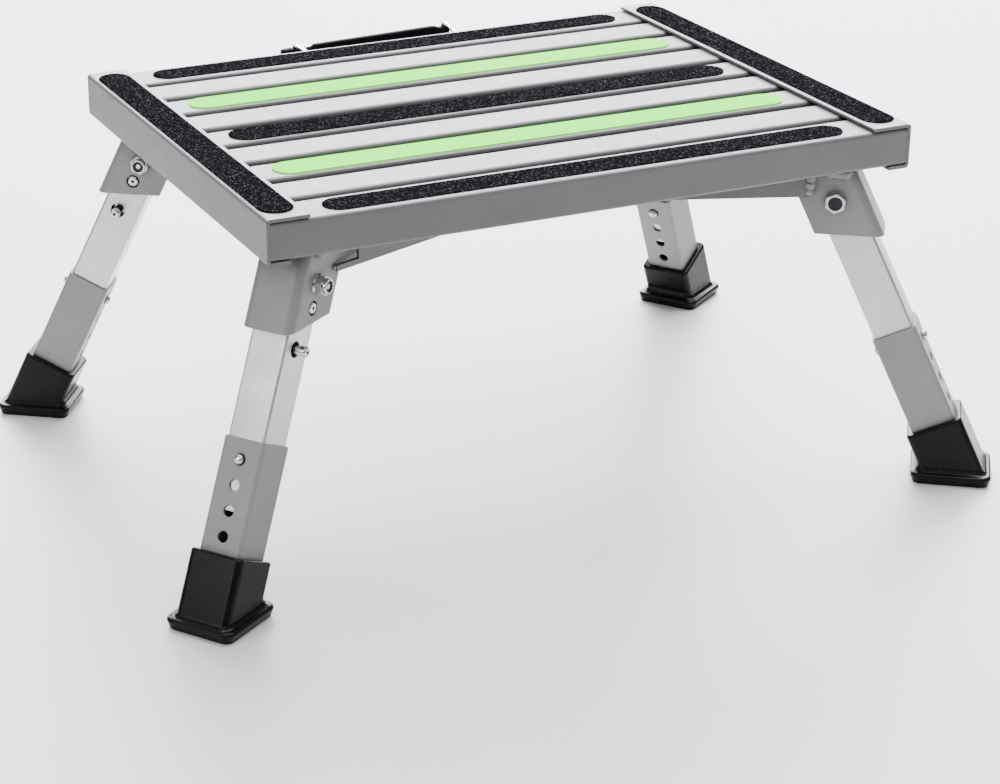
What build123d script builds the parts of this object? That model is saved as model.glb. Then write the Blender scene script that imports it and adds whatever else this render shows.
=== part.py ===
from build123d import *
import os
from math import cos, sin, tan, radians

os.makedirs("parts", exist_ok=True)

# Folding caravan entry step: slatted platform on four splayed telescopic legs.
# Millimetres. Origin on the floor under the middle of the platform,
# +X along the platform's length, -Y towards the front, +Z up.

# ---------------------------------------------------------------- platform
DECK_H = 268.0        # top of the end channels above the floor, legs fully out
DECK_L = 483.0        # over the end channels
DECK_W = 365.0        # over the front and rear rails
CH_H = 32.0           # end channel: height, sheet, top and bottom flange width
CH_T = 2.5
CH_TOP = 30.3
CH_BOT = 16.4
CH_R = 2.8
PLANK_TOP = DECK_H - 2.9   # planks lie just under the channels' top flange
PLANK_L = DECK_L - 2 * CH_T
PITCH = 41.2          # slat spacing
SLAT_W = 33.0
SLAT_H = 20.0
SLAT_WALL = 1.5
SLAT_R = 3.2
RAIL_IN = 146.7       # inner face of the rails
RAIL_W = DECK_W / 2 - RAIL_IN
RAIL_Y = DECK_W / 2 - RAIL_W / 2
RAIL_H = 26.4
RAIL_WALL = 1.8
RAIL_R = 2.6
RAIL_BOT = PLANK_TOP - RAIL_H
SLAT_BOT = PLANK_TOP - SLAT_H

# ------------------------------------------------------------ tread strips
STRIP_T = 0.9
END_GRIT = (346.0, 24.0)
RAIL_GRIT = (390.0, 24.0)
MID_GRIT = (394.0, 27.0)
GLOW = (394.0, 25.5)

# ------------------------------------------------------------------- braces
BRACE_X = 181.0       # ends, lapped on the brackets' flanges
BRACE_ANGLE = 21.0
BRACE_T = 3.0
BRACE_BOT = DECK_H - 54.3
BRACE_FLANGE = 16.0
NOTCH_L = 19.0        # cut-back beside the pivot nut: length, lower edge
NOTCH_BOT = DECK_H - 50.1

# ------------------------------------------------- leg geometry (each corner)
PLAN = 34.8           # legs point along the platform's diagonals
TILT = 25.4           # splay from vertical
PIVOT_R = 254.2       # pivot: distance from the middle, and height
PIVOT_Z = DECK_H - 57.5
BRK_T = 2.5           # U bracket: sheet, outer sizes from the pivot, fold, lower edge
BRK_OUT = 21.4
BRK_IN = 22.6
BRK_W = 19.4
BRK_FOLD = 6.8
BRK_BOT = DECK_H - 82.3
EAR_BOT = DECK_H - 53.8    # ear on the flange behind the brace's cut-back
EAR_REACH = 52.5
TUBE = 29.0
TUBE_WALL = 1.6
TUBE_TOP = 15.0       # above the pivot
TUBE_END = 157.5      # below the pivot, along the leg
SLEEVE = 32.4
SLEEVE_IN = 29.4
SLEEVE_TOP = 109.0
SLEEVE_END = 214.0
HOLE_1 = 123.0        # first height hole, then three more
HOLE_PITCH = 17.3
HOLE_R = 3.9
LOCK_S = 16.0         # lock pin and release pin, along the leg
RELEASE_S = 45.0
RELEASE_N = 2.0
PIN_R = 4.0
RELEASE_R = 3.7
STEM_R = 3.0
BUTTON_R = 3.5

# ------------------------------------------------------------------- boots
BOOT = 41.5
BOOT_TOP = 186.0
BOOT_R = 4.8
FOOT_L, FOOT_W, FOOT_T = 59.4, 55.4, 8.0
FOOT_TAPER = 20.0     # the base narrows down to its sole
FOOT_AXIS = 11.0      # height at which the leg's axis is over the base's middle
FOOT_R = 8.5
FOOT_RIM = 2.2
FOOT_FLARE = 4.4

# -------------------------------------------------------------- pivot bolts
BOLT_R = 4.0
FLANGE_R = 7.9
FLANGE_T = 1.6
HEX = 13.0
HEAD_H = 5.6
NUT_FLANGE_R = 7.4
NUT_HEX = 12.4
NUT_H = 6.0
COLLAR_R = 5.3        # locking collar on the nut
COLLAR_H = 2.8
BOLT_IN = 0.9         # bolt end sunk in the collar

# ------------------------------------------------------------------- handle
LOOP_X = 64.0
LOOP_W = 3.4
LOOP_T = 1.8
LOOP_D = 25.0         # how far the loops stand out
LOOP_H = 24.5
LOOP_TOP = DECK_H - 3.4
LOOP_RISE = 4.0       # the right loop is bent up at its outer end
STRAP_T = 6.6         # strap bears on the loops' outer arms
STRAP_H = 20.4
STRAP_LEFT, STRAP_RIGHT = -76.3, 66.3
STRAP_RISE = 3.1      # from the left loop to the right one
GRIP_LEFT, GRIP_RIGHT = -50.0, 58.0

LEGS = {"fl": 180.0 + PLAN, "fr": -PLAN, "rl": 180.0 - PLAN, "rr": PLAN}


def radial(leg):
    a = radians(LEGS[leg])
    return Vector(cos(a), sin(a), 0)


def tangent(leg):
    a = radians(LEGS[leg])
    return Vector(-sin(a), cos(a), 0)


def outward(leg):
    """Normal of the leg's outer face."""
    return radial(leg) * cos(radians(TILT)) + Vector(0, 0, sin(radians(TILT)))


def upward(leg):
    """Along the leg, towards the platform."""
    return radial(leg) * -sin(radians(TILT)) + Vector(0, 0, cos(radians(TILT)))


def pivot(leg):
    return radial(leg) * PIVOT_R + Vector(0, 0, PIVOT_Z)


def cross(leg, s):
    """Section of the leg at s below the pivot: x outward, y tangential."""
    return Plane(
        origin=pivot(leg) - upward(leg) * s, x_dir=outward(leg), z_dir=upward(leg)
    )


def side(leg, t=0.0):
    """Plane across the pivot bolt at t: x outward, y up the leg, normal -tangent."""
    return Plane(
        origin=pivot(leg) + tangent(leg) * t, x_dir=outward(leg), z_dir=-tangent(leg)
    )


def flank(leg, t=0.0):
    """The same plane seen the other way: x inward, y up the leg, normal tangent."""
    return Plane(
        origin=pivot(leg) + tangent(leg) * t, x_dir=-outward(leg), z_dir=tangent(leg)
    )


def front(leg, s, n=0.0):
    """Plane facing outward at s below the pivot: x tangential, y up the leg."""
    return Plane(
        origin=pivot(leg) - upward(leg) * s + outward(leg) * n,
        x_dir=tangent(leg),
        z_dir=outward(leg),
    )


def back(leg, s, n=0.0):
    """Plane facing inward at s below the pivot."""
    return Plane(
        origin=pivot(leg) - upward(leg) * s - outward(leg) * n,
        x_dir=-tangent(leg),
        z_dir=-outward(leg),
    )


def save(part, label):
    part.label = label
    export_step(part, f"parts/{label}.step")


# ------------------------------------------------- front and rear edge rails
END_SECTION = dict(x_dir=(0, 1, 0), z_dir=(1, 0, 0))
for label, y in (("front_rail", -RAIL_Y), ("rear_rail", RAIL_Y)):
    with BuildPart() as rail:
        with BuildSketch(
            Plane(origin=(-PLANK_L / 2, y, PLANK_TOP - RAIL_H / 2), **END_SECTION)
        ):
            RectangleRounded(RAIL_W, RAIL_H, RAIL_R)
            RectangleRounded(
                RAIL_W - 2 * RAIL_WALL, RAIL_H - 2 * RAIL_WALL, 1.0, mode=Mode.SUBTRACT
            )
        extrude(amount=PLANK_L)
    save(rail.part, label)

# --------------------------------------------------------- seven deck slats
for i in range(7):
    y = (3 - i) * PITCH
    with BuildPart() as slat:
        with BuildSketch(
            Plane(origin=(-PLANK_L / 2, y, PLANK_TOP - SLAT_H / 2), **END_SECTION)
        ):
            RectangleRounded(SLAT_W, SLAT_H, SLAT_R)
            RectangleRounded(
                SLAT_W - 2 * SLAT_WALL,
                SLAT_H - 2 * SLAT_WALL,
                1.7,
                mode=Mode.SUBTRACT,
            )
        extrude(amount=PLANK_L)
    save(slat.part, f"slat_{i + 1}")

# ----------------------------- C channels that wrap the planks' ends
for label, sx in (("left_end_channel", -1), ("right_end_channel", 1)):
    with BuildPart() as channel:
        with BuildSketch(
            Plane(origin=(0, DECK_W / 2, DECK_H), x_dir=(1, 0, 0), z_dir=(0, -1, 0))
        ) as sec:
            xo = sx * DECK_L / 2
            with BuildLine():
                Polyline(
                    (xo, 0),
                    (xo - sx * CH_TOP, 0),
                    (xo - sx * CH_TOP, -CH_T),
                    (xo - sx * CH_T, -CH_T),
                    (xo - sx * CH_T, -CH_H + CH_T),
                    (xo - sx * CH_BOT, -CH_H + CH_T),
                    (xo - sx * CH_BOT, -CH_H),
                    (xo, -CH_H),
                    close=True,
                )
            make_face()
            outer = sec.vertices().sort_by(Axis.X)
            fillet(outer[:2] if sx < 0 else outer[-2:], CH_R)
            lips = [
                v
                for v in sec.vertices()
                if abs(abs(v.X) - (DECK_L / 2 - CH_TOP)) < 0.1
                or abs(abs(v.X) - (DECK_L / 2 - CH_BOT)) < 0.1
            ]
            fillet(lips, 0.6)
        extrude(amount=DECK_W)
    save(channel.part, label)

# ------------------------------------------------ grit and glow tread strips
for label, x in (("left_grit_strip", -1), ("right_grit_strip", 1)):
    with BuildPart() as strip:
        with BuildSketch(
            Plane(
                origin=(x * (DECK_L / 2 - CH_TOP / 2 + 0.6), 0, DECK_H),
                x_dir=(0, 1, 0),
                z_dir=(0, 0, 1),
            )
        ):
            SlotOverall(*END_GRIT)
        extrude(amount=STRIP_T)
    save(strip.part, label)

for label, y, size in (
    ("front_grit_strip", -RAIL_Y, RAIL_GRIT),
    ("rear_grit_strip", RAIL_Y, RAIL_GRIT),
    ("centre_grit_strip", 0.0, MID_GRIT),
    ("rear_glow_strip", 2 * PITCH, GLOW),
    ("front_glow_strip", -2 * PITCH, GLOW),
):
    with BuildPart() as strip:
        with BuildSketch(Plane.XY.offset(PLANK_TOP)) as face:
            with Locations((0, y)):
                SlotOverall(*size)
        extrude(amount=STRIP_T)
    save(strip.part, label)

# ---------------- bent angle braces that tie each pair of brackets together
slope = tan(radians(BRACE_ANGLE))
skew = 1 / cos(radians(BRACE_ANGLE))
for label, sy in (("front_brace", -1), ("rear_brace", 1)):
    # front face line, then the sheet's inner face and the flange's free edge
    inner = BRACE_T * skew
    lip = BRACE_FLANGE * skew
    # the inner face's end lies on the outside of the bracket's flange
    lap_y = (BRK_W + BRACE_X * sin(radians(PLAN))) / cos(radians(PLAN)) + 0.02
    ends_y = lap_y + inner
    apex_y = ends_y - BRACE_X * slope
    with BuildPart() as brace:
        with BuildSketch(Plane.XY.offset(BRACE_BOT)):
            with BuildLine():
                Polyline(
                    (-BRACE_X, sy * ends_y),
                    (0, sy * apex_y),
                    (BRACE_X, sy * ends_y),
                    (BRACE_X, sy * (ends_y - inner)),
                    (0, sy * (apex_y - inner)),
                    (-BRACE_X, sy * (ends_y - inner)),
                    close=True,
                )
            make_face()
        extrude(amount=SLAT_BOT - BRACE_BOT)
        # top flange, against the undersides of the slats
        with BuildSketch(Plane.XY.offset(SLAT_BOT)):
            reach = BRACE_X - 22.0
            with BuildLine():
                Polyline(
                    (-reach, sy * (apex_y + reach * slope)),
                    (0, sy * apex_y),
                    (reach, sy * (apex_y + reach * slope)),
                    (reach - 12, sy * (apex_y + (reach - 12) * slope + lip)),
                    (0, sy * (apex_y + lip)),
                    (12 - reach, sy * (apex_y + (reach - 12) * slope + lip)),
                    close=True,
                )
            make_face()
        extrude(amount=-BRACE_T)
        # the ends pass under the rail
        with BuildSketch(Plane.XY.offset(RAIL_BOT)):
            with Locations((0, sy * (RAIL_IN - 0.4 + 20))):
                Rectangle(2 * DECK_L, 40)
        extrude(amount=30, mode=Mode.SUBTRACT)
        # cut-back beside the pivot nut, at the end where the nut faces outward
        sx = sy
        with BuildSketch(Plane.XY.offset(NOTCH_BOT)):
            with Locations((sx * (BRACE_X - NOTCH_L / 2 + 1), sy * ends_y)):
                Rectangle(NOTCH_L + 2, 40)
        extrude(amount=60, mode=Mode.SUBTRACT)
    save(brace.part, label)

# --------------------------------------------------- folded U pivot brackets
for leg in LEGS:
    with BuildPart() as bracket:
        with BuildSketch(cross(leg, 60)) as sec:
            mid = (BRK_OUT - BRK_IN) / 2
            with Locations((mid, 0)):
                Rectangle(BRK_OUT + BRK_IN, 2 * BRK_W)
            with Locations((mid - BRK_T, 0)):
                Rectangle(BRK_OUT + BRK_IN, 2 * (BRK_W - BRK_T), mode=Mode.SUBTRACT)
            web = sec.vertices().filter_by_position(
                Axis.X, BRK_OUT - 0.1, BRK_OUT + 0.1
            )
            fillet(web, BRK_FOLD)
            root = sec.vertices().filter_by_position(
                Axis.X, BRK_OUT - BRK_T - 0.1, BRK_OUT - BRK_T + 0.1
            )
            fillet(root, BRK_FOLD - BRK_T)
        extrude(amount=130)
        if leg in ("fl", "rr"):
            with BuildSketch(
                Plane(
                    origin=pivot(leg) + tangent(leg) * (BRK_W - BRK_T),
                    x_dir=-radial(leg),
                    z_dir=tangent(leg),
                )
            ):
                with BuildLine():
                    Polyline(
                        (20, EAR_BOT - PIVOT_Z),
                        (EAR_REACH - 3, EAR_BOT - PIVOT_Z),
                        (EAR_REACH, EAR_BOT - PIVOT_Z + 3),
                        (EAR_REACH, RAIL_BOT - PIVOT_Z + 5),
                        (20, RAIL_BOT - PIVOT_Z + 5),
                        close=True,
                    )
                make_face()
            extrude(amount=BRK_T)
        split(bisect_by=Plane.XY.offset(BRK_BOT), keep=Keep.TOP)
        split(bisect_by=Plane.XY.offset(RAIL_BOT), keep=Keep.BOTTOM)
        # cleared round the end channel's bottom flange
        with BuildSketch(Plane.XY.offset(DECK_H - CH_H - 0.05)):
            for sx in (-1, 1):
                with Locations((sx * (DECK_L / 2 - CH_BOT + 19.7), 0)):
                    Rectangle(40, 2 * DECK_W)
        extrude(amount=40, mode=Mode.SUBTRACT)
        with BuildSketch(side(leg)):
            Circle(BOLT_R + 0.03)
        extrude(amount=30, both=True, mode=Mode.SUBTRACT)
        # lock hole in the flange on the nut's side
        with BuildSketch(flank(leg)):
            with Locations((0, -LOCK_S)):
                Circle(PIN_R + 1.1)
        extrude(amount=30, mode=Mode.SUBTRACT)
    save(bracket.part, f"pivot_bracket_{leg}")

# ------------------------------------ pivot bolts, flange nuts and spacers
BOLT_END = BRK_W + NUT_H + COLLAR_H - BOLT_IN
with BuildPart() as pivot_bolts:
    for leg in LEGS:
        with BuildSketch(side(leg, -BRK_W)):
            Circle(FLANGE_R)
        extrude(amount=FLANGE_T, taper=28)
        with BuildSketch(side(leg, -BRK_W - FLANGE_T * 0.6)):
            RegularPolygon(HEX / 2, 6, major_radius=False)
        extrude(amount=HEAD_H - FLANGE_T * 0.6)
        with BuildSketch(flank(leg, -BRK_W)):
            Circle(BOLT_R)
        extrude(amount=BRK_W + BOLT_END)
    ends = []
    for leg in LEGS:
        at = pivot(leg) + tangent(leg) * BOLT_END
        ends += [
            e
            for e in pivot_bolts.edges().filter_by(GeomType.CIRCLE)
            if (e.arc_center - at).length < 0.05 and abs(e.radius - BOLT_R) < 0.05
        ]
    chamfer(ends, 0.8)
    for leg in LEGS:
        # the heads' corners are turned off round, and their tops are dished
        with BuildSketch(side(leg, -BRK_W - HEAD_H + 1.3)):
            Circle(HEX)
            Circle(HEX / 2 + 0.75, mode=Mode.SUBTRACT)
        extrude(amount=2, mode=Mode.SUBTRACT)
        with BuildSketch(side(leg, -BRK_W - HEAD_H + 1.0)):
            Circle(5.1)
        extrude(amount=2, mode=Mode.SUBTRACT)
save(pivot_bolts.part, "pivot_bolts")

with BuildPart() as pivot_nuts:
    for leg in LEGS:
        with BuildSketch(flank(leg, BRK_W)):
            Circle(NUT_FLANGE_R)
        extrude(amount=FLANGE_T, taper=28)
        with BuildSketch(flank(leg, BRK_W + FLANGE_T * 0.6)):
            RegularPolygon(NUT_HEX / 2, 6, major_radius=False)
        extrude(amount=NUT_H - FLANGE_T * 0.6)
        with BuildSketch(flank(leg, BRK_W + NUT_H)):
            Circle(COLLAR_R)
        extrude(amount=COLLAR_H)
    crowns = []
    for leg in LEGS:
        at = pivot(leg) + tangent(leg) * (BRK_W + NUT_H + COLLAR_H)
        crowns += [
            e
            for e in pivot_nuts.edges().filter_by(GeomType.CIRCLE)
            if (e.arc_center - at).length < 0.05
        ]
    fillet(crowns, 0.8)
    for leg in LEGS:
        with BuildSketch(flank(leg, BRK_W - 1)):
            Circle(BOLT_R + 0.03)
        extrude(amount=NUT_H + COLLAR_H + 2, mode=Mode.SUBTRACT)
        with BuildSketch(flank(leg, BRK_W + NUT_H - 1.3)):
            Circle(HEX)
            Circle(NUT_HEX / 2 + 0.7, mode=Mode.SUBTRACT)
        extrude(amount=1.4, mode=Mode.SUBTRACT)
save(pivot_nuts.part, "pivot_nuts")

GAP = BRK_W - BRK_T - TUBE / 2
with BuildPart() as pivot_spacers:
    for leg in LEGS:
        for plane in (flank(leg, TUBE / 2 + 0.05), side(leg, -TUBE / 2 - 0.05)):
            with BuildSketch(plane):
                Circle(8.0)
                Circle(BOLT_R + 0.03, mode=Mode.SUBTRACT)
            extrude(amount=GAP - 0.05)
save(pivot_spacers.part, "pivot_spacers")

# ---------------------------------------------------- bare upper leg tubes
for leg in LEGS:
    with BuildPart() as tube:
        with BuildSketch(cross(leg, TUBE_END)):
            RectangleRounded(TUBE, TUBE, 2.2)
            RectangleRounded(
                TUBE - 2 * TUBE_WALL, TUBE - 2 * TUBE_WALL, 0.8, mode=Mode.SUBTRACT
            )
        extrude(amount=TUBE_END + TUBE_TOP)
        # rounded top, so that the end turns inside the bracket
        with BuildSketch(side(leg)):
            with Locations((0, 24)):
                Rectangle(60, 40)
            RectangleRounded(TUBE + 0.04, 2 * TUBE_TOP, 10, mode=Mode.SUBTRACT)
        extrude(amount=30, both=True, mode=Mode.SUBTRACT)
        with BuildSketch(side(leg)):
            Circle(BOLT_R + 0.05)
        extrude(amount=30, both=True, mode=Mode.SUBTRACT)
        with BuildSketch(flank(leg)):
            with Locations((0, -LOCK_S)):
                Circle(PIN_R + 0.3)
            with Locations((-RELEASE_N, -RELEASE_S)):
                Circle(RELEASE_R + 1.8)
        extrude(amount=30, mode=Mode.SUBTRACT)
        with BuildSketch(front(leg, HOLE_1)):
            Circle(BUTTON_R + 0.3)
        extrude(amount=30, both=True, mode=Mode.SUBTRACT)
    save(tube.part, f"leg_tube_{leg}")

# --------------------- lock plungers: spring leaf with lock and release pins
LEAF_T = 6.4
LOCK_TIP = BRK_W + 0.5
RELEASE_TIP = TUBE / 2 + 9.6
for leg in LEGS:
    with BuildPart() as plunger:
        with BuildSketch(flank(leg, LEAF_T)):
            with Locations((-RELEASE_N / 2, -(LOCK_S + RELEASE_S) / 2)):
                RectangleRounded(12, RELEASE_S - LOCK_S + 13, 4)
        extrude(amount=1.2)
        with BuildSketch(flank(leg, LEAF_T)):
            with Locations((0, -LOCK_S)):
                Circle(PIN_R)
        extrude(amount=LOCK_TIP - LEAF_T)
        with BuildSketch(flank(leg, LEAF_T)):
            with Locations((-RELEASE_N, -RELEASE_S)):
                Circle(STEM_R)
        extrude(amount=RELEASE_TIP - 2 - LEAF_T)
        with BuildSketch(flank(leg, RELEASE_TIP - 4.6)):
            with Locations((-RELEASE_N, -RELEASE_S)):
                Circle(RELEASE_R)
        extrude(amount=4.6)
        rims = []
        for n, s, t in ((0, LOCK_S, LOCK_TIP), (RELEASE_N, RELEASE_S, RELEASE_TIP)):
            at = pivot(leg) + outward(leg) * n - upward(leg) * s + tangent(leg) * t
            rims += [
                e
                for e in plunger.edges().filter_by(GeomType.CIRCLE)
                if (e.arc_center - at).length < 0.05
            ]
        fillet(rims, 1.4)
        # turning centres in the pins' ends
        with BuildSketch(flank(leg, LOCK_TIP - 0.9)):
            with Locations((0, -LOCK_S)):
                Circle(1.3)
        extrude(amount=2, mode=Mode.SUBTRACT)
        with BuildSketch(flank(leg, RELEASE_TIP - 0.9)):
            with Locations((-RELEASE_N, -RELEASE_S)):
                Circle(1.2)
        extrude(amount=2, mode=Mode.SUBTRACT)
    save(plunger.part, f"lock_plunger_{leg}")

# ---------------------------- height adjustment: snap buttons and V springs
HEAD_OUT = SLEEVE / 2 + 3.6
BASE_IN = TUBE / 2 - TUBE_WALL - 2.1
for leg in LEGS:
    for where, at in (("outer", front), ("inner", back)):
        sgn = 1 if where == "outer" else -1
        with BuildPart() as button:
            with BuildSketch(at(leg, HOLE_1, BASE_IN + 0.4)):
                Circle(BUTTON_R)
            extrude(amount=HEAD_OUT - BASE_IN - 0.4)
            tip = pivot(leg) - upward(leg) * HOLE_1 + outward(leg) * (sgn * HEAD_OUT)
            rim = [
                e
                for e in button.edges().filter_by(GeomType.CIRCLE)
                if (e.arc_center - tip).length < 0.05
            ]
            fillet(rim, 2.6)
            with BuildSketch(at(leg, HOLE_1, BASE_IN)):
                Circle(BUTTON_R + 1.4)
            extrude(amount=1.4)
        save(button.part, f"height_button_{where}_{leg}")

    with BuildPart() as spring:
        with BuildSketch(side(leg)):
            with BuildLine() as bow:
                FilletPolyline(
                    (BASE_IN - 0.7, -HOLE_1 - 6),
                    (BASE_IN - 0.7, -HOLE_1 + 7),
                    (3.2, -HOLE_1 + 38),
                    (-3.2, -HOLE_1 + 38),
                    (0.7 - BASE_IN, -HOLE_1 + 7),
                    (0.7 - BASE_IN, -HOLE_1 - 6),
                    radius=2.4,
                )
            trace(line_width=0.8)
        extrude(amount=4.5, both=True)
    save(spring.part, f"height_spring_{leg}")

# -------------------------------------------- painted lower leg sleeves
for leg in LEGS:
    with BuildPart() as sleeve:
        with BuildSketch(cross(leg, SLEEVE_END)):
            RectangleRounded(SLEEVE, SLEEVE, 2.8)
            RectangleRounded(SLEEVE_IN, SLEEVE_IN, 1.6, mode=Mode.SUBTRACT)
        extrude(amount=SLEEVE_END - SLEEVE_TOP)
        with BuildSketch(front(leg, HOLE_1)):
            for i in range(4):
                with Locations((0, -i * HOLE_PITCH)):
                    Circle(HOLE_R)
        extrude(amount=30, both=True, mode=Mode.SUBTRACT)
        # broken edges at the holes and at the open upper end
        worn = []
        for e in sleeve.edges():
            d = e.center() - pivot(leg)
            n, s = d.dot(outward(leg)), -d.dot(upward(leg))
            round_hole = e.geom_type == GeomType.CIRCLE and abs(e.radius - HOLE_R) < 0.01
            if round_hole and abs(abs(n) - SLEEVE / 2) < 0.01:
                worn.append(e)
            elif abs(s - SLEEVE_TOP) < 0.01:
                if max(abs(n), abs(d.dot(tangent(leg)))) > SLEEVE_IN / 2 + 0.3:
                    worn.append(e)
        chamfer(worn, 0.35)
    save(sleeve.part, f"leg_sleeve_{leg}")

# ------------------------------------------------ moulded non-slip boots
for leg in LEGS:
    # middle of the base, under the leg's axis
    foot_r = PIVOT_R + (PIVOT_Z - FOOT_AXIS) * tan(radians(TILT))
    with BuildPart() as boot:
        with BuildSketch(cross(leg, 265)):
            RectangleRounded(BOOT, BOOT, BOOT_R)
        extrude(amount=265 - BOOT_TOP)
        split(bisect_by=Plane.XY.offset(1.0), keep=Keep.TOP)
        with BuildSketch(
            Plane(
                origin=radial(leg) * foot_r + Vector(0, 0, FOOT_T),
                x_dir=radial(leg),
                z_dir=(0, 0, -1),
            )
        ):
            RectangleRounded(FOOT_L, FOOT_W, FOOT_R)
        extrude(amount=FOOT_T, taper=FOOT_TAPER)
        level = [e for e in boot.edges() if abs(e.center().Z - FOOT_T) < 0.01]
        # flare where the upright meets the base, then the base's own rim
        flare = []
        rim = []
        for e in level:
            d = e.center() - radial(leg) * foot_r
            if (
                abs(d.dot(radial(leg))) < FOOT_L / 2 - 2.6
                and abs(d.dot(tangent(leg))) < FOOT_W / 2 - 2.6
            ):
                flare.append(e)
            else:
                rim.append(e)
        fillet(rim, FOOT_RIM)
        fillet(flare, FOOT_FLARE)
        mouth = [
            e
            for e in boot.edges()
            if abs((e.center() - pivot(leg)).dot(upward(leg)) + BOOT_TOP) < 0.01
        ]
        fillet(mouth, 2.0)
        with BuildSketch(cross(leg, SLEEVE_END)):
            RectangleRounded(SLEEVE + 0.06, SLEEVE + 0.06, 2.8)
        extrude(amount=SLEEVE_END - BOOT_TOP + 10, mode=Mode.SUBTRACT)
    save(boot.part, f"boot_{leg}")

# ------------------------------------------------------- carrying handle
LOOP_MID = LOOP_TOP - LOOP_H / 2
with BuildPart() as handle_loops:
    for x, rise in ((-LOOP_X, 0.0), (LOOP_X, LOOP_RISE)):
        with BuildSketch(Plane(origin=(x - LOOP_W / 2, 0, 0), **END_SECTION)) as ring:
            y0, y1 = DECK_W / 2, DECK_W / 2 + LOOP_D
            with BuildLine():
                Polyline(
                    (y0, LOOP_TOP - LOOP_H),
                    (y1, LOOP_TOP - LOOP_H + rise),
                    (y1, LOOP_TOP + rise),
                    (y0, LOOP_TOP),
                    close=True,
                )
            make_face()
            fillet(ring.vertices(), 3.4)
            offset(amount=-LOOP_T, mode=Mode.SUBTRACT)
        extrude(amount=LOOP_W)
save(handle_loops.part, "handle_loops")

STRAP_OUT = DECK_W / 2 + LOOP_D - LOOP_T   # the strap's outer face
strap_slope = STRAP_RISE / (2 * LOOP_X)
with BuildPart() as handle_strap:
    # thin neck right through, thick grip, and a block at each end
    for x0, x1, thick, tall, corner in (
        (STRAP_LEFT, STRAP_RIGHT, 5.0, 16.4, 1.6),
        (GRIP_LEFT, GRIP_RIGHT, STRAP_T, STRAP_H, 2.2),
        (STRAP_LEFT, -LOOP_X - LOOP_W / 2 - 1.2, 8.2, 19.6, 2.2),
        (GRIP_RIGHT - 2, STRAP_RIGHT, 7.6, 17.4, 2.2),
    ):
        with BuildSketch(
            Plane(
                origin=(
                    x0,
                    STRAP_OUT - thick / 2,
                    LOOP_MID + 0.3 + (x0 + LOOP_X) * strap_slope,
                ),
                x_dir=(0, 1, 0),
                z_dir=(1, 0, strap_slope),
            )
        ):
            RectangleRounded(thick, tall, corner)
        extrude(amount=(x1 - x0) * (1 + strap_slope**2) ** 0.5)
save(handle_strap.part, "handle_strap")
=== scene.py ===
import math

import bpy
import numpy as np
from mathutils import Matrix, Vector


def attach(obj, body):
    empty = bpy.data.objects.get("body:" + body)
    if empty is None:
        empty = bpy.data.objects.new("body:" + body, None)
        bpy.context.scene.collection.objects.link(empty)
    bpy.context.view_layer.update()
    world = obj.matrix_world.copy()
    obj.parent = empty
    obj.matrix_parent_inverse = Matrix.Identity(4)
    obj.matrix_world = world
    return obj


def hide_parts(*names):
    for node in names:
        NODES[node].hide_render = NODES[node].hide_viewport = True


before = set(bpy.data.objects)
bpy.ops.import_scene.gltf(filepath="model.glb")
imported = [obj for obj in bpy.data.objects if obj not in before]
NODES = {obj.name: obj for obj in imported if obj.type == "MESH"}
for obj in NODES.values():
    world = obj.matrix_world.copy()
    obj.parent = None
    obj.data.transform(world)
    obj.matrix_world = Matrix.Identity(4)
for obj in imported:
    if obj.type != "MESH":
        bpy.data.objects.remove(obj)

# ------------------------------------------------------------------ geometry
# The step's driving sizes, in millimetres, as in the CAD model.
H = 268.0
PLANK_TOP = H - 2.9
RAIL_BOT = PLANK_TOP - 26.4
SLAT_BOT = PLANK_TOP - 20.0
PLAN, TILT = 34.8, 25.4
PIVOT_R, PIVOT_Z = 254.2, H - 57.5
BRK_OUT, BRK_IN, BRK_W = 21.4, 22.6, 19.4
BRACE_X, BRACE_BOT = 181.0, H - 54.3
LEGS = {"fl": 180.0 + PLAN, "fr": -PLAN, "rl": 180.0 - PLAN, "rr": PLAN}
STRIP_T = 0.9


def leg_frame(leg):
    a, th = math.radians(LEGS[leg]), math.radians(TILT)
    r = np.array((math.cos(a), math.sin(a), 0.0))
    t = np.array((-math.sin(a), math.cos(a), 0.0))
    z = np.array((0.0, 0.0, 1.0))
    n = r * math.cos(th) + z * math.sin(th)
    u = -r * math.sin(th) + z * math.cos(th)
    return r * PIVOT_R + z * PIVOT_Z, r, t, n, u


# ----------------------------------------------------------------- materials
def material(name):
    m = bpy.data.materials.new(name)
    m.use_nodes = True
    nt = m.node_tree
    nt.nodes.clear()
    out = nt.nodes.new("ShaderNodeOutputMaterial")
    bsdf = nt.nodes.new("ShaderNodeBsdfPrincipled")
    nt.links.new(bsdf.outputs["BSDF"], out.inputs["Surface"])
    return m, nt, bsdf


def coords(nt, euler=(0.0, 0.0, 0.0), scale=(1.0, 1.0, 1.0)):
    tc = nt.nodes.new("ShaderNodeTexCoord")
    mp = nt.nodes.new("ShaderNodeMapping")
    mp.vector_type = "POINT"
    mp.inputs["Rotation"].default_value = euler
    mp.inputs["Scale"].default_value = scale
    nt.links.new(tc.outputs["Object"], mp.inputs["Vector"])
    return mp.outputs["Vector"]


def noise(nt, vec, scale, detail=2.0, rough=0.5, dist=0.0):
    n = nt.nodes.new("ShaderNodeTexNoise")
    n.inputs["Scale"].default_value = scale
    n.inputs["Detail"].default_value = detail
    n.inputs["Roughness"].default_value = rough
    n.inputs["Distortion"].default_value = dist
    nt.links.new(vec, n.inputs["Vector"])
    return n.outputs["Fac"]


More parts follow.
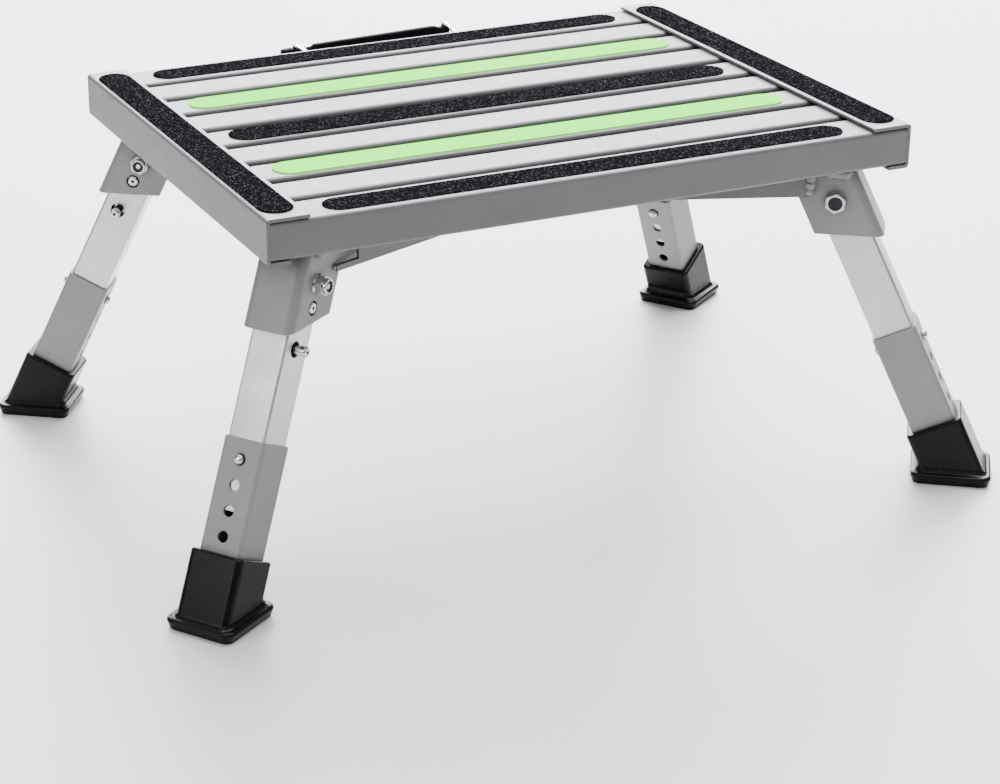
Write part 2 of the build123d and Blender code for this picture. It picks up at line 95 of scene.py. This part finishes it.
def ramp(nt, fac, stops):
    r = nt.nodes.new("ShaderNodeValToRGB")
    els = r.color_ramp.elements
    while len(els) < len(stops):
        els.new(0.5)
    for e, (p, c) in zip(els, stops):
        e.position = p
        e.color = (c, c, c, 1.0) if not isinstance(c, tuple) else (*c, 1.0)
    nt.links.new(fac, r.inputs["Fac"])
    return r.outputs["Color"]


def bump(nt, bsdf, height, strength, distance, after=None):
    b = nt.nodes.new("ShaderNodeBump")
    b.inputs["Strength"].default_value = strength
    b.inputs["Distance"].default_value = distance
    nt.links.new(height, b.inputs["Height"])
    if after is not None:
        nt.links.new(after, b.inputs["Normal"])
    nt.links.new(b.outputs["Normal"], bsdf.inputs["Normal"])
    return b.outputs["Normal"]


def painted_shade(nt, color, reach, low, mid):
    """Painted shade: colour darkened by ambient occlusion into corners, gaps and recesses, where shade
    falls.
    """
    ao = nt.nodes.new("ShaderNodeAmbientOcclusion")
    ao.samples = 6
    ao.inputs["Distance"].default_value = reach
    shade = ramp(nt, ao.outputs["AO"], [(0.0, low), (0.5, mid), (0.9, 1.0)])
    n = nt.nodes.new("ShaderNodeMix")
    n.data_type = "RGBA"
    n.blend_type = "MULTIPLY"
    n.inputs[0].default_value = 1.0
    nt.links.new(color, n.inputs[6])
    nt.links.new(shade, n.inputs[7])
    return n.outputs[2]


def paint_material(name, low, high, corner_shade=True):
    """Satin silver-grey powder coat: fine orange peel, faint mottling, and painted shade darkening it
    into corners and gaps.
    """
    m, nt, b = material(name)
    v = coords(nt)
    tone = ramp(nt, noise(nt, v, 14.0, 4.0, 0.6), [
        (0.30, (low * 0.985, low * 1.01, low * 0.99)), (0.70, (high * 0.985, high * 1.01, high * 0.99))])
    # painted shade: the coat is darkened into corners and gaps unless this is turned off
    if corner_shade:
        tone = painted_shade(nt, tone, 0.022, 0.12, 0.62)
    nt.links.new(tone, b.inputs["Base Color"])
    nt.links.new(ramp(nt, noise(nt, v, 160.0, 3.0), [(0.3, 0.36), (0.7, 0.46)]),
                 b.inputs["Roughness"])
    b.inputs["Metallic"].default_value = 0.10
    b.inputs["Specular IOR Level"].default_value = 0.50
    first = bump(nt, b, noise(nt, v, 950.0, 2.0, 0.55), 0.16, 0.00025)
    bump(nt, b, noise(nt, v, 55.0, 2.0), 0.05, 0.0012, after=first)
    return m


def grit_material():
    """Black mineral grit bonded to a strip, its grains varying in tone, with a few painted bright as
    glints.
    """
    m, nt, b = material("black_grit")
    v = coords(nt)
    cell = nt.nodes.new("ShaderNodeTexVoronoi")
    cell.feature = "F1"
    cell.inputs["Scale"].default_value = 1150.0
    nt.links.new(v, cell.inputs["Vector"])
    sep = nt.nodes.new("ShaderNodeSeparateColor")
    nt.links.new(cell.outputs["Color"], sep.inputs["Color"])
    # painted highlight: the brightest few grains stand in for glints off the grit
    painted_sparkle = ramp(nt, sep.outputs["Red"], [
        (0.0, (0.0045, 0.0043, 0.0052)), (0.55, (0.0085, 0.0081, 0.0096)),
        (0.88, (0.017, 0.0163, 0.020)), (0.97, (0.085, 0.081, 0.097))])
    nt.links.new(painted_sparkle, b.inputs["Base Color"])
    nt.links.new(ramp(nt, sep.outputs["Green"], [(0.0, 0.55), (1.0, 0.95)]),
                 b.inputs["Roughness"])
    b.inputs["Specular IOR Level"].default_value = 0.0
    bump(nt, b, cell.outputs["Distance"], 0.9, 0.0006)
    return m


def glow_material():
    """Pale green glow film, faintly mottled, with a fine matt grain, and an emission that makes it shine
    as painted light.
    """
    m, nt, b = material("green_glow_film")
    v = coords(nt)
    tone = ramp(nt, noise(nt, v, 45.0, 4.0, 0.6), [
        (0.30, (0.190, 0.900, 0.090)), (0.70, (0.205, 0.950, 0.100))])
    nt.links.new(tone, b.inputs["Base Color"])
    nt.links.new(ramp(nt, noise(nt, v, 700.0, 2.0), [(0.3, 0.42), (0.7, 0.58)]),
                 b.inputs["Roughness"])
    b.inputs["Specular IOR Level"].default_value = 0.0
    # painted light: the film emits light of its own, brightening it beyond what the lamps give
    b.inputs["Emission Color"].default_value = (0.14, 1.0, 0.04, 1.0)
    b.inputs["Emission Strength"].default_value = 0.9
    bump(nt, b, noise(nt, v, 1400.0, 2.0), 0.12, 0.0002)
    return m


def tube_material(leg):
    """Bare drawn aluminium, brushed along the leg."""
    m, nt, b = material("brushed_aluminium_" + leg)
    _, _, t, n, u = leg_frame(leg)
    e = Matrix((n, t, u)).to_euler()
    v = coords(nt, tuple(e))
    st = nt.nodes.new("ShaderNodeMapping")
    st.inputs["Scale"].default_value = (1.0, 1.0, 0.012)
    nt.links.new(v, st.inputs["Vector"])
    streak = noise(nt, st.outputs["Vector"], 2600.0, 3.0, 0.6)
    cloud = noise(nt, v, 30.0, 3.0)
    tone = ramp(nt, streak, [(0.25, (0.72, 0.705, 0.70)), (0.75, (0.86, 0.845, 0.84))])
    nt.links.new(tone, b.inputs["Base Color"])
    b.inputs["Metallic"].default_value = 1.0
    nt.links.new(ramp(nt, cloud, [(0.3, 0.36), (0.7, 0.48)]), b.inputs["Roughness"])
    b.inputs["Anisotropic"].default_value = 0.35
    bump(nt, b, streak, 0.22, 0.00012)
    return m


def zinc_material():
    """Bright zinc plate with light handling marks, and painted shade in its corners and recesses."""
    m, nt, b = material("bright_zinc")
    v = coords(nt)
    tone = ramp(nt, noise(nt, v, 260.0, 4.0, 0.6), [
        (0.30, (0.62, 0.62, 0.63)), (0.70, (0.80, 0.80, 0.80))])
    # painted shade: the zinc darkens into the corners and recesses of the bolts, nuts and loops
    nt.links.new(painted_shade(nt, tone, 0.004, 0.05, 0.45), b.inputs["Base Color"])
    b.inputs["Metallic"].default_value = 1.0
    nt.links.new(ramp(nt, noise(nt, v, 420.0, 3.0), [(0.3, 0.14), (0.7, 0.30)]),
                 b.inputs["Roughness"])
    bump(nt, b, noise(nt, v, 1500.0, 3.0), 0.08, 0.00015)
    return m


def shade_disc_material():
    """Painted shade: near-black colour for the discs laid in the hollows of the bolt heads, nuts and
    pins.
    """
    m, nt, b = material("painted_shade_disc")
    v = coords(nt)
    tone = ramp(nt, noise(nt, v, 500.0, 3.0), [
        (0.30, (0.020, 0.021, 0.026)), (0.70, (0.036, 0.038, 0.046))])
    nt.links.new(tone, b.inputs["Base Color"])
    b.inputs["Metallic"].default_value = 0.7
    nt.links.new(ramp(nt, noise(nt, v, 900.0, 2.0), [(0.3, 0.25), (0.7, 0.45)]),
                 b.inputs["Roughness"])
    return m


def rubber_material():
    """Semi-gloss moulded rubber: near black, with a soft mould grain."""
    m, nt, b = material("boot_rubber")
    v = coords(nt)
    tone = ramp(nt, noise(nt, v, 60.0, 4.0, 0.6), [
        (0.30, (0.0045, 0.0045, 0.0048)), (0.70, (0.0065, 0.0065, 0.0068))])
    nt.links.new(tone, b.inputs["Base Color"])
    nt.links.new(ramp(nt, noise(nt, v, 240.0, 3.0), [(0.3, 0.20), (0.7, 0.28)]),
                 b.inputs["Roughness"])
    b.inputs["Specular IOR Level"].default_value = 0.15
    first = bump(nt, b, noise(nt, v, 900.0, 2.0), 0.015, 0.0002)
    bump(nt, b, noise(nt, v, 60.0, 2.0), 0.05, 0.0008, after=first)
    return m


def strap_material():
    """Flexible black strap, matt, with a fine lengthwise grain."""
    m, nt, b = material("black_strap")
    v = coords(nt, scale=(0.08, 1.0, 1.0))
    w = coords(nt)
    tone = ramp(nt, noise(nt, w, 90.0, 3.0), [
        (0.30, (0.005, 0.005, 0.0055)), (0.70, (0.008, 0.008, 0.0085))])
    nt.links.new(tone, b.inputs["Base Color"])
    nt.links.new(ramp(nt, noise(nt, w, 300.0, 3.0), [(0.3, 0.38), (0.7, 0.55)]),
                 b.inputs["Roughness"])
    b.inputs["Specular IOR Level"].default_value = 0.02
    bump(nt, b, noise(nt, v, 1600.0, 2.0), 0.12, 0.0002)
    return m


# The same powder coat in lit and shaded copies: a darker tone on the deck, a lighter one on the brackets
# and sleeves, and a lighter one still, without painted corner shade, on the weld beads.
DARKER_DECK_PAINT = paint_material("grey_powder_coat", 0.166, 0.186)
LIGHTER_LEG_PAINT = paint_material("grey_powder_coat_lighter_legs", 0.270, 0.298)
LIGHTER_WELD_PAINT = paint_material("grey_powder_coat_lighter_welds", 0.285, 0.330, False)
GRIT = grit_material()
GLOW = glow_material()
ZINC = zinc_material()
SHADE_DISC = shade_disc_material()
RUBBER = rubber_material()
STRAP = strap_material()
TUBES = {leg: tube_material(leg) for leg in LEGS}


def look_of(node):
    if node.endswith("grit_strip"):
        return GRIT
    if node.endswith("glow_strip"):
        return GLOW
    if node.startswith("leg_tube_"):
        return TUBES[node[-2:]]
    if node.startswith("boot_"):
        return RUBBER
    if node == "handle_strap":
        return STRAP
    if node.startswith(("pivot_bolts", "pivot_nuts", "pivot_spacers", "handle_loops",
                        "lock_plunger", "height_")):
        return ZINC
    if node.startswith(("pivot_bracket_", "leg_sleeve_")):
        return LIGHTER_LEG_PAINT
    return DARKER_DECK_PAINT


for name, obj in NODES.items():
    look = look_of(name)
    if not obj.material_slots:
        obj.data.materials.append(look)
    for s in obj.material_slots:
        s.material = look


# --------------------------------------------------------------- mesh pieces
def piece(name, verts, faces, mat, body, smooth=True):
    """A closed mesh from millimetre points, riding on a body."""
    me = bpy.data.meshes.new(name)
    me.from_pydata([tuple(float(c) / 1000.0 for c in v) for v in verts], [], faces)
    me.validate()
    me.update()
    if smooth:
        me.polygons.foreach_set("use_smooth", [True] * len(me.polygons))
    o = bpy.data.objects.new(name, me)
    bpy.context.scene.collection.objects.link(o)
    me.materials.append(mat)
    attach(o, body)
    return o


# Grit strips: a closed strip with round ends whose top is a field of grains.
def grit_strip(name, node, centre, length, width, along_y, seed):
    rng = np.random.default_rng(seed)
    r = width / 2.0
    straight = length / 2.0 - r
    step = 0.85
    m = int(round(2 * straight / step))
    k = int(round(math.pi / 2 * r / step))
    cap = [straight + r * math.sin(math.radians(89.0) * i / k) for i in range(1, k + 1)]
    us = [-c for c in reversed(cap)] + list(np.linspace(-straight, straight, m + 1)) + cap
    rows = int(round(width / step))
    verts, top, bot = [], [], []
    for u in us:
        over = max(0.0, abs(u) - straight)
        h = math.sqrt(max(r * r - over * over, 0.01))
        ct, cb = [], []
        for j in range(rows + 1):
            v = -h + 2 * h * j / rows
            edge = j in (0, rows) or u in (us[0], us[-1])
            z = STRIP_T * (0.62 if edge else 0.80)
            if not edge:
                z += abs(rng.normal(0.0, 0.16))
                z = min(z, STRIP_T + 0.28)
            ct.append((u, v, z))
            cb.append((u, v, 0.0))
        top.append(ct)
        bot.append(cb)
    idx = {}

    def add(pt):
        u, v, z = pt
        x, y = (centre[0] - v, centre[1] + u) if along_y else (centre[0] + u, centre[1] + v)
        verts.append((x, y, centre[2] + z))
        return len(verts) - 1

    it = [[add(q) for q in col] for col in top]
    n = len(us)
    # underside: only its outline is needed
    ib = {}
    for i in range(n):
        for j in range(rows + 1):
            if i in (0, n - 1) or j in (0, rows):
                ib[i, j] = add(bot[i][j])
    faces = []
    for i in range(n - 1):
        for j in range(rows):
            faces.append((it[i][j], it[i + 1][j], it[i + 1][j + 1], it[i][j + 1]))
    loop = [(i, 0) for i in range(n)] + [(n - 1, j) for j in range(1, rows + 1)]
    loop += [(i, rows) for i in range(n - 2, -1, -1)] + [(0, j) for j in range(rows - 1, 0, -1)]
    for q, w in zip(loop, loop[1:] + loop[:1]):
        faces.append((it[q[0]][q[1]], ib[q], ib[w], it[w[0]][w[1]]))
    # the underside in strips across the width
    for i in range(n - 1):
        a, b, c, d = ib[i, 0], ib[i, rows], ib[i + 1, rows], ib[i + 1, 0]
        if i == 0:
            faces.append(tuple(ib[0, j] for j in range(rows + 1)) + (c, d))
        elif i == n - 2:
            faces.append((a, b) + tuple(ib[n - 1, j] for j in range(rows, -1, -1)))
        else:
            faces.append((a, b, c, d))
    o = piece(name, verts, faces, GRIT, "platform", smooth=False)
    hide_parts(node)
    return o


grit_strip("grit_left", "left_grit_strip", (-226.95, 0, H), 346.0, 24.0, True, 11)
grit_strip("grit_right", "right_grit_strip", (226.95, 0, H), 346.0, 24.0, True, 12)
grit_strip("grit_front", "front_grit_strip", (0, -164.6, PLANK_TOP), 390.0, 24.0, False, 13)
grit_strip("grit_rear", "rear_grit_strip", (0, 164.6, PLANK_TOP), 390.0, 24.0, False, 14)
grit_strip("grit_centre", "centre_grit_strip", (0, 0, PLANK_TOP), 394.0, 27.0, False, 15)


# Weld beads: overlapping lumps laid along a short line, closed at both ends.
def weld(name, a, b, radius, seed, lumps=5):
    rng = np.random.default_rng(seed)
    a, b = np.array(a, float), np.array(b, float)
    d = b - a
    length = np.linalg.norm(d)
    d /= length
    side = np.cross(d, (0.31, 0.52, 0.80))
    side /= np.linalg.norm(side)
    up = np.cross(d, side)
    n, m = 12 * lumps, 18
    sizes = rng.uniform(0.80, 1.15, lumps + 1)
    verts, faces = [tuple(a - d * radius * 0.5)], []
    for i in range(n + 1):
        f = i / n
        lump = f * lumps
        size = np.interp(lump, range(lumps + 1), sizes)
        scallop = 0.84 + 0.16 * abs(math.sin(math.pi * lump)) ** 0.7
        ends = math.sqrt(max(0.0, 1.0 - abs(2 * f - 1) ** 6)) * 0.75 + 0.25
        rr = radius * size * scallop * ends
        wob = rng.normal(0.0, 0.035, 2) * radius
        c = a + d * length * f + side * wob[0] + up * wob[1]
        for j in range(m):
            t = 2 * math.pi * j / m
            verts.append(tuple(c + (side * math.cos(t) + up * math.sin(t)) * rr))
    verts.append(tuple(b + d * radius * 0.5))
    for i in range(n):
        for j in range(m):
            p0, p1 = 1 + i * m + j, 1 + i * m + (j + 1) % m
            faces.append((p0, p1, p1 + m, p0 + m))
    last = len(verts) - 1
    for j in range(m):
        faces.append((0, 1 + (j + 1) % m, 1 + j))
        q = 1 + n * m
        faces.append((last, q + j, q + (j + 1) % m))
    return piece(name, verts, faces, LIGHTER_WELD_PAINT, "platform")


def on_bracket(leg, n, z, t):
    """Point of the leg's frame at that outward and tangential offset, at height z."""
    p, r, tt, nn, uu = leg_frame(leg)
    base = p + nn * n + tt * t
    return base + uu * ((z - base[2]) / uu[2])


def lap(leg, x, z, off):
    """Point on the outside of the bracket's flange that carries the brace."""
    sx, sy = (1, -1) if leg == "fr" else (-1, -1) if leg == "fl" else (-1, 1) if leg == "rl" else (1, 1)
    c, w = math.cos(math.radians(PLAN)), math.sin(math.radians(PLAN))
    y = (BRK_W + off + x * w) / c
    return (sx * x, sy * y, z)


for q, leg in enumerate(LEGS):
    out = 1.0 if leg in ("fl", "rr") else -1.0   # the flange under the rail
    weld("weld_rail_" + leg, on_bracket(leg, -12.0, RAIL_BOT - 0.5, out * (BRK_W + 0.5)),
         on_bracket(leg, 13.5, RAIL_BOT - 0.5, out * (BRK_W + 0.5)), 1.9, 40 + q, 6)
    drop, size = (6.3, 4.7) if out < 0 else (6.4, 3.0)
    weld("weld_run_" + leg, on_bracket(leg, 3.0, RAIL_BOT - drop, out * (BRK_W + 1.6)),
         on_bracket(leg, 18.0 if out < 0 else 11.0, RAIL_BOT - drop, out * (BRK_W + 1.9)),
         size, 50 + q, 4 if out < 0 else 3)
    weld("weld_web_" + leg, on_bracket(leg, BRK_OUT + 0.5, RAIL_BOT - 0.5, out * 10.0),
         on_bracket(leg, BRK_OUT + 0.5, RAIL_BOT - 0.5, out * -1.0), 1.8, 60 + q, 3)
    # down the end of the brace, where it is lapped on the flange
    if out < 0:
        weld("weld_brace_" + leg, lap(leg, BRACE_X + 1.6, RAIL_BOT - 3.0, 1.9),
             lap(leg, BRACE_X + 0.2, BRACE_BOT + 1.2, 1.9), 3.5, 80 + q, 4)
    else:
        weld("weld_brace_" + leg, lap(leg, BRACE_X + 0.8, BRACE_BOT + 4.0, 0.8),
             lap(leg, BRACE_X + 0.8, BRACE_BOT + 0.8, 0.8), 1.4, 80 + q, 1)
for q, x in enumerate((-64.0, 64.0)):
    for w, z in enumerate((H - 8.5, H - 22.5)):
        weld("weld_loop_%d%d" % (q, w), (x - 2.0, 182.6, z), (x + 2.0, 182.6, z),
             1.2, 90 + 2 * q + w, 2)


# Painted shade: thin dark discs or rings laid in the hollows of the bolt heads, nuts and pin ends, where
# shade falls.
def lay_shade_disc(name, leg, n, s, t, facing, outer, inner, body):
    p, r, tt, nn, uu = leg_frame(leg)
    c = p + nn * n - uu * s + tt * t
    m = 40
    verts, faces = [], []
    rims = []
    for h in (-0.10, 0.12):
        for rad in (outer, inner):
            if rad <= 0:
                verts.append(tuple(c + tt * (facing * h)))
                rims.append([len(verts) - 1] * m)
                continue
            rims.append(list(range(len(verts), len(verts) + m)))
            for i in range(m):
                a = 2 * math.pi * i / m
                verts.append(tuple(c + tt * (facing * h) + (nn * math.cos(a) + uu * math.sin(a)) * rad))
    lo_o, lo_i, hi_o, hi_i = rims
    for i in range(m):
        j = (i + 1) % m
        if inner > 0:
            quads = [(lo_o[i], lo_i[i], lo_i[j], lo_o[j]), (hi_o[i], hi_o[j], hi_i[j], hi_i[i]),
                     (lo_i[i], hi_i[i], hi_i[j], lo_i[j])]
        else:
            quads = [(lo_o[i], lo_i[i], lo_o[j]), (hi_o[i], hi_o[j], hi_i[i])]
        quads.append((lo_o[i], lo_o[j], hi_o[j], hi_o[i]))
        faces += quads
    if facing * np.dot(np.cross(nn, uu), tt) < 0:
        faces = [tuple(reversed(f)) for f in faces]
    return piece(name, verts, faces, SHADE_DISC, body, smooth=False)


# painted shade in each leg's bolt head, nut, lock pin and release pin hollows
for leg in LEGS:
    lay_shade_disc("head_hollow_" + leg, leg, 0.0, 0.0, -(BRK_W + 5.6 - 1.0), -1.0, 4.9, 0.0, "platform")
    lay_shade_disc("nut_hollow_" + leg, leg, 0.0, 0.0, BRK_W + 6.0 + 2.8 - 0.9, 1.0, 3.9, 1.7, "platform")
    lay_shade_disc("lock_hollow_" + leg, leg, 0.0, 16.0, BRK_W + 0.5 - 0.9, 1.0, 1.25, 0.0, "lock_" + leg)
    lay_shade_disc("release_hollow_" + leg, leg, 2.0, 45.0, 14.5 + 9.6 - 0.9, 1.0, 1.15, 0.0, "lock_" + leg)


# Carrying strap: one flexible moulding, swept along its length.
def strap_mesh():
    left, right, slope = -76.3, 66.3, 3.1 / 128.0
    mid, out = H - 3.4 - 12.25 + 0.3, 205.7 - 0.05
    # stations: x, thickness, height
    plan = [(-76.3, 6.8, 17.6), (-75.4, 8.0, 19.2), (-70.0, 8.2, 19.6), (-67.6, 8.1, 19.4),
            (-66.9, 7.2, 17.8), (-66.4, 5.2, 16.4), (-60.0, 5.0, 16.4), (-52.0, 5.0, 16.4),
            (-50.4, 5.4, 17.6), (-49.4, 6.4, 20.0), (-46.0, 6.6, 20.4), (0.0, 6.5, 20.3),
            (52.0, 6.6, 20.4), (55.4, 6.8, 19.6), (57.0, 7.5, 17.6), (60.0, 7.6, 17.4),
            (65.6, 7.6, 17.3), (66.3, 6.4, 15.8)]
    px = np.array([q[0] for q in plan])
    xs = np.unique(np.concatenate([px, np.linspace(left, right, 150)]))
    th = np.interp(xs, px, [q[1] for q in plan])
    ht = np.interp(xs, px, [q[2] for q in plan])
    ring = []
    m = 10
    for cx, cz, a0 in ((1, 1, 0), (-1, 1, 90), (-1, -1, 180), (1, -1, 270)):
        for i in range(m + 1):
            a = math.radians(a0 + 90.0 * i / m)
            ring.append((cx, cz, math.cos(a), math.sin(a)))
    verts, faces = [], []
    k = len(ring)
    for x, t, h in zip(xs, th, ht):
        r = min(2.2, t / 2 - 0.2)
        # fine ribs across the grip's inner face, set in a shallow groove along that same face
        rib = 0.16 * math.sin(2 * math.pi * x / 3.6) if -46 < x < 52 else 0.0
        for cx, cz, c, d in ring:
            y = out - t / 2 + cx * (t / 2 - r) + r * c
            if cx < 0 and abs(d) < 0.5:
                y += 0.12 + rib if rib else 0.0
            z = mid + (x + 64.0) * slope + cz * (h / 2 - r) + r * d
            verts.append((x, y, z))
    n = len(xs)
    for i in range(n - 1):
        for j in range(k):
            a, b = i * k + j, i * k + (j + 1) % k
            faces.append((a, b, b + k, a + k))
    faces.append(tuple(reversed(range(k))))
    faces.append(tuple(range((n - 1) * k, n * k)))
    o = piece("strap", verts, faces, STRAP, "platform")
    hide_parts("handle_strap")


strap_mesh()


# Fine edge rounding on the sheet and turned pieces.
def soften(names, width, segments=2, angle=35.0):
    for n in names:
        o = NODES[n]
        w = o.modifiers.new("weld", "WELD")
        w.merge_threshold = 2e-6
        b = o.modifiers.new("edge", "BEVEL")
        b.width = width / 1000.0
        b.segments = segments
        b.limit_method = "ANGLE"
        b.angle_limit = math.radians(angle)
        b.harden_normals = False
        b.use_clamp_overlap = True
        k = o.modifiers.new("normals", "WEIGHTED_NORMAL")
        k.weight = 50
        k.keep_sharp = False


soften(["pivot_bracket_" + leg for leg in LEGS], 0.45)
soften(["leg_tube_" + leg for leg in LEGS], 0.30)
soften(["front_brace", "rear_brace", "left_end_channel", "right_end_channel"], 0.40)
soften(["front_rail", "rear_rail"] + ["slat_%d" % i for i in range(1, 8)], 0.35)
soften(["pivot_bolts", "pivot_nuts", "handle_loops"], 0.30)
soften(["front_glow_strip", "rear_glow_strip"], 0.25)

# ------------------------------------------------------------ camera, stage
F_PX = 2673.141
RV = np.array((1.9412899445117235, -0.3922150413133575, 0.237061369233725))
CAM = np.array((-820.493, -1676.827, 829.420)) / 1000.0
CENTRE = (298.83, 394.30)
ang = np.linalg.norm(RV)
k = RV / ang
K = np.array(((0, -k[2], k[1]), (k[2], 0, -k[0]), (-k[1], k[0], 0)))
ROT = np.eye(3) + math.sin(ang) * K + (1 - math.cos(ang)) * K @ K

cam_data = bpy.data.cameras.new("photo_camera")
cam_data.sensor_fit = "HORIZONTAL"
cam_data.sensor_width = 36.0
cam_data.lens = F_PX / 1000.0 * 36.0
cam_data.shift_x = (500.0 - CENTRE[0]) / 1000.0
cam_data.shift_y = (CENTRE[1] - 392.0) / 1000.0
cam_data.clip_start = 0.05
cam_data.clip_end = 50.0
cam = bpy.data.objects.new("photo_camera", cam_data)
bpy.context.scene.collection.objects.link(cam)
mw = Matrix.Identity(4)
for i in range(3):
    mw[i][0] = ROT[0][i]
    mw[i][1] = -ROT[1][i]
    mw[i][2] = -ROT[2][i]
    mw[i][3] = CAM[i]
cam.matrix_world = mw
bpy.context.scene.camera = cam

floor_me = bpy.data.meshes.new("floor")
S = 6.0
floor_me.from_pydata([(-S, -S, 0), (S, -S, 0), (S, S, 0), (-S, S, 0)], [], [(0, 1, 2, 3)])
floor = bpy.data.objects.new("floor", floor_me)
bpy.context.scene.collection.objects.link(floor)
fm, fnt, fb = material("pale_floor")
fv = coords(fnt)


def beyond(nx, ny, edge, width):
    """0 inside that edge of the pale area, 1 outside it."""
    d = fnt.nodes.new("ShaderNodeVectorMath")
    d.operation = "DOT_PRODUCT"
    d.inputs[1].default_value = (nx, ny, 0.0)
    fnt.links.new(fv, d.inputs[0])
    n = fnt.nodes.new("ShaderNodeMapRange")
    n.interpolation_type = "SMOOTHSTEP"
    n.inputs["From Min"].default_value = edge
    n.inputs["From Max"].default_value = edge + width
    fnt.links.new(d.outputs["Value"], n.inputs["Value"])
    return n.outputs["Result"]


def larger(p, q):
    n = fnt.nodes.new("ShaderNodeMath")
    n.operation = "MAXIMUM"
    fnt.links.new(p, n.inputs[0])
    fnt.links.new(q, n.inputs[1])
    return n.outputs["Value"]


far = larger(beyond(-0.403, -0.915, 0.60, 0.25), beyond(-0.96, 0.281, 0.70, 0.25))
pale = ramp(fnt, noise(fnt, fv, 3.0, 2.0), [(0.3, 0.78), (0.7, 0.81)])
mix = fnt.nodes.new("ShaderNodeMix")
mix.data_type = "RGBA"
fnt.links.new(far, mix.inputs[0])
fnt.links.new(pale, mix.inputs[6])
mix.inputs[7].default_value = (0.34, 0.34, 0.34, 1.0)
fnt.links.new(mix.outputs[2], fb.inputs["Base Color"])
fb.inputs["Roughness"].default_value = 0.45
fb.inputs["Specular IOR Level"].default_value = 1.0
floor_me.materials.append(fm)


def area(name, loc, target, size, power, color=(1, 1, 1), size_y=None):
    d = bpy.data.lights.new(name, "AREA")
    d.energy = power
    d.color = color
    d.shape = "RECTANGLE"
    d.size = size
    d.size_y = size_y or size
    o = bpy.data.objects.new(name, d)
    bpy.context.scene.collection.objects.link(o)
    o.location = loc
    o.rotation_euler = (Vector(target) - Vector(loc)).to_track_quat("-Z", "Y").to_euler()
    return o


area("top_softbox", (0.75, 0.6, 2.4), (0.1, 0.0, 0.2), 2.0, 115.0)
area("back_softbox", (1.6, 3.7, 1.9), (0.0, 0.0, 0.2), 5.5, 760.0, (0.965, 0.985, 1.0), 3.0)
area("left_card", (-2.4, -0.6, 1.1), (0, 0, 0.15), 0.9, 13.0)
area("left_fill", (-1.3, -1.1, 2.2), (-0.1, 0, 0.15), 0.9, 10.0)
area("front_fill", (-0.5, -2.5, 1.9), (0, 0, 0.15), 1.2, 9.0)

world = bpy.data.worlds.new("studio")
world.use_nodes = True
wt = world.node_tree
bg = wt.nodes["Background"]
wc = wt.nodes.new("ShaderNodeTexCoord")
ws = wt.nodes.new("ShaderNodeSeparateXYZ")
wt.links.new(wc.outputs["Generated"], ws.inputs["Vector"])
wt.links.new(ramp(wt, ws.outputs["Z"], [(0.0, 0.06), (0.35, 0.20), (0.8, 0.8)]), bg.inputs["Color"])
bg.inputs["Strength"].default_value = 0.8
bpy.context.scene.world = world
